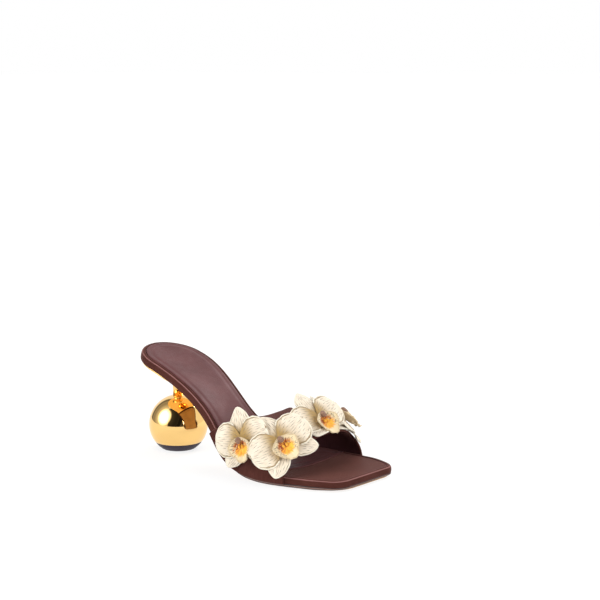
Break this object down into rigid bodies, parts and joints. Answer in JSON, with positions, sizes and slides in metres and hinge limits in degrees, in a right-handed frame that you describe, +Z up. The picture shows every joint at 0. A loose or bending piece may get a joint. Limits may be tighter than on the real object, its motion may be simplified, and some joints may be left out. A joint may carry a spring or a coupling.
{
  "type": "heeled mule",
  "caption": "Right open-toe mule with a broad satin toe strap set with embroidered orchids, a padded sock and a heel that stands on a polished ball.",
  "frame": {"origin": "middle of the flat foot under the heel ball, on the floor", "axes": "+X towards the toe, +Y towards the inner side of the foot, +Z up"},
  "size_m": [0.2132, 0.1173, 0.0819],
  "materials": {
    "sole": "matt dark moulded sole",
    "satin": "satin weave, brown",
    "leather": "smooth soft leather, brown",
    "gold": "mirror polished gold plating",
    "rubber": "matt black",
    "petal": "cream cloth with stitched veins",
    "lip": "orange and rust stitched cloth with a cream edge"
  },
  "bodies": {
    "root": {"outsole": "sole", "platform": "satin", "insole_sock": "leather", "upper_band": "satin", "heel_stem": "gold", "heel_ball": "gold", "top_lift": "rubber", "orchid_1_sepals": "petal", "orchid_1_petals": "petal", "orchid_1_lip": "lip", "orchid_2_sepals": "petal", "orchid_2_petals": "petal", "orchid_2_lip": "lip", "orchid_3_sepals": "petal", "orchid_3_petals": "petal", "orchid_3_lip": "lip", "orchid_4_sepals": "petal", "orchid_4_petals": "petal", "orchid_4_lip": "lip"}
  },
  "joints": []
}
